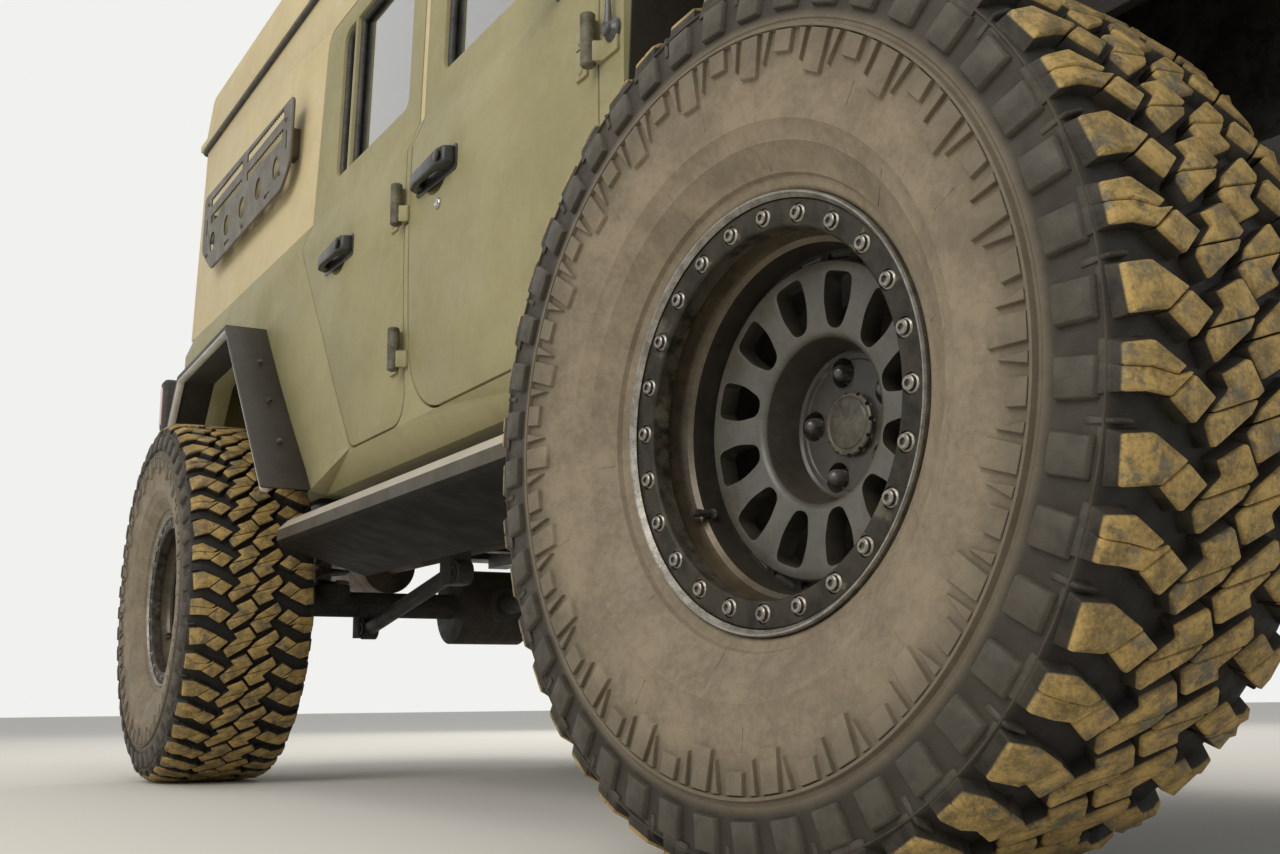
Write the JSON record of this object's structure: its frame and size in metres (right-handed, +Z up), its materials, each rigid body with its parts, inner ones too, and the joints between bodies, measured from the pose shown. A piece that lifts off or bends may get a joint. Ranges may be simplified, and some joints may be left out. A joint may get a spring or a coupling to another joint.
{
  "type": "lifted off-road 4x4",
  "caption": "Four-door off-road vehicle with a raised camper top, oversized mud tyres, bead-clamp wheels, rock sliders, flat flares and a spare wheel on its tailgate.",
  "frame": {"origin": "on the ground, at the middle of the vehicle's length and width", "axes": "+X forward, +Y to the vehicle's left, +Z up"},
  "size_m": [4.8399, 2.1524, 2.452],
  "materials": {
    "tyre": "moulded rubber, dusty",
    "wheel": "satin black",
    "cast_black": "painted casting",
    "link_steel": "bare steel",
    "chassis_black": "textured black",
    "spring_black": "satin black",
    "engine_alloy": "cast alloy",
    "exhaust_steel": "heat-stained steel",
    "moulded_black": "grained",
    "slider_coat": "textured coating",
    "olive_coat": "textured olive coating",
    "tan_coat": "textured tan coating",
    "flare_coat": "textured dark coating",
    "rack_coat": "textured coating",
    "lamp_lens": "moulded lens",
    "window_glass": "clear glass",
    "seat_cloth": "woven cloth"
  },
  "bodies": {
    "chassis": {"frame_rails": "chassis_black", "front_axle": "cast_black", "rear_axle": "cast_black", "springs_and_shocks": "spring_black", "control_arms": "chassis_black", "propeller_shafts": "link_steel", "powertrain": "engine_alloy", "exhaust": "exhaust_steel", "fuel_tank": "moulded_black", "body_tub": "olive_coat", "load_bay": "olive_coat", "windscreen_frame": "olive_coat", "fixed_glass": "window_glass", "hardtop": "tan_coat", "front_fenders": "flare_coat", "grille": "olive_coat", "lamps": "lamp_lens", "front_bumper": "chassis_black", "rear_bumper": "chassis_black", "rock_sliders": "slider_coat", "rear_flares": "flare_coat", "side_racks": "rack_coat", "seats": "seat_cloth", "dashboard": "moulded_black"},
    "knuckle_right": {"knuckle_right": "cast_black"},
    "knuckle_left": {"knuckle_left": "cast_black"},
    "front_right_wheel": {"tyre_front_right": "tyre", "wheel_front_right": "wheel"},
    "front_left_wheel": {"tyre_front_left": "tyre", "wheel_front_left": "wheel"},
    "rear_right_wheel": {"tyre_rear_right": "tyre", "wheel_rear_right": "wheel"},
    "rear_left_wheel": {"tyre_rear_left": "tyre", "wheel_rear_left": "wheel"},
    "track_rod": {"tie_rod": "link_steel"},
    "drag_rod": {"drag_link": "link_steel"},
    "drop_arm": {"pitman_arm": "cast_black"},
    "steering_wheel": {"steering_wheel": "moulded_black"},
    "front_right_door": {"door_front_right": "olive_coat", "glass_front_right": "window_glass"},
    "front_left_door": {"door_front_left": "olive_coat", "glass_front_left": "window_glass"},
    "rear_right_door": {"door_rear_right": "olive_coat", "glass_rear_right": "window_glass"},
    "rear_left_door": {"door_rear_left": "olive_coat", "glass_rear_left": "window_glass"},
    "hood": {"hood": "olive_coat"},
    "tailgate": {"tailgate": "olive_coat", "spare_wheel": "wheel", "spare_tyre": "tyre"},
    "roof_cap": {"pop_roof": "tan_coat"}
  },
  "joints": [
    {"name": "steer_right", "type": "hinge", "parent": "chassis", "child": "knuckle_right", "pos_m": [1.7735, -0.74, 0.505], "axis": [0, 0, 1], "range_deg": [-36, 24]},
    {"name": "steer_left", "type": "hinge", "parent": "chassis", "child": "knuckle_left", "pos_m": [1.7735, 0.74, 0.505], "axis": [0, 0, 1], "range_deg": [-36, 24]},
    {"name": "spin_front_right", "type": "hinge", "parent": "knuckle_right", "child": "front_right_wheel", "pos_m": [1.78604, -0.85934, 0.505], "axis": [-0.1045, 0.9945, 0], "continuous": true},
    {"name": "spin_front_left", "type": "hinge", "parent": "knuckle_left", "child": "front_left_wheel", "pos_m": [1.76096, 0.85934, 0.505], "axis": [-0.1045, 0.9945, 0], "continuous": true},
    {"name": "spin_rear_right", "type": "hinge", "parent": "chassis", "child": "rear_right_wheel", "pos_m": [-1.1735, -0.86, 0.505], "axis": [0, 1, 0], "continuous": true},
    {"name": "spin_rear_left", "type": "hinge", "parent": "chassis", "child": "rear_left_wheel", "pos_m": [-1.1735, 0.86, 0.505], "axis": [0, 1, 0], "continuous": true},
    {"name": "tie_rod_pivot", "type": "hinge", "parent": "knuckle_right", "child": "track_rod", "pos_m": [1.92765, -0.7238, 0.425], "axis": [0, 0, 1], "range_deg": [-24, 36]},
    {"name": "pitman_turn", "type": "hinge", "parent": "chassis", "child": "drop_arm", "pos_m": [1.9395, 0.478, 0.61], "axis": [0, 0, 1], "range_deg": [-36, 24]},
    {"name": "drag_link_pivot", "type": "hinge", "parent": "drop_arm", "child": "drag_rod", "pos_m": [2.09365, 0.4942, 0.575], "axis": [0, 0, 1], "range_deg": [-24, 36]},
    {"name": "steering_wheel_turn", "type": "hinge", "parent": "chassis", "child": "steering_wheel", "pos_m": [0.74, 0.37, 1.33], "axis": [-0.9135, 0, 0.4067], "range_deg": [-560, 560]},
    {"name": "door_front_right_hinge", "type": "hinge", "parent": "chassis", "child": "front_right_door", "pos_m": [1.1, -0.82, 1.1], "axis": [0, 0, 1], "range_deg": [0, 65]},
    {"name": "door_front_left_hinge", "type": "hinge", "parent": "chassis", "child": "front_left_door", "pos_m": [1.1, 0.82, 1.1], "axis": [0, 0, -1], "range_deg": [0, 65]},
    {"name": "door_rear_right_hinge", "type": "hinge", "parent": "chassis", "child": "rear_right_door", "pos_m": [0.203, -0.82, 1.1], "axis": [0, 0, 1], "range_deg": [0, 65]},
    {"name": "door_rear_left_hinge", "type": "hinge", "parent": "chassis", "child": "rear_left_door", "pos_m": [0.203, 0.82, 1.1], "axis": [0, 0, -1], "range_deg": [0, 65]},
    {"name": "hood_hinge", "type": "hinge", "parent": "chassis", "child": "hood", "pos_m": [1.191, 0, 1.47], "axis": [0, -1, 0], "range_deg": [0, 50]},
    {"name": "tailgate_hinge", "type": "hinge", "parent": "chassis", "child": "tailgate", "pos_m": [-1.992, -0.64, 1.2], "axis": [0, 0, 1], "range_deg": [0, 90]},
    {"name": "roof_cap_hinge", "type": "hinge", "parent": "chassis", "child": "roof_cap", "pos_m": [0.396, 0, 2.2], "axis": [0, 1, 0], "range_deg": [0, 25]}
  ],
  "couplings": [
    {"joint": "steer_left", "follows": "steer_right", "ratio": 1},
    {"joint": "tie_rod_pivot", "follows": "steer_right", "ratio": -1},
    {"joint": "pitman_turn", "follows": "steer_right", "ratio": 1},
    {"joint": "drag_link_pivot", "follows": "steer_right", "ratio": -1},
    {"joint": "steering_wheel_turn", "follows": "steer_right", "ratio": 15}
  ]
}
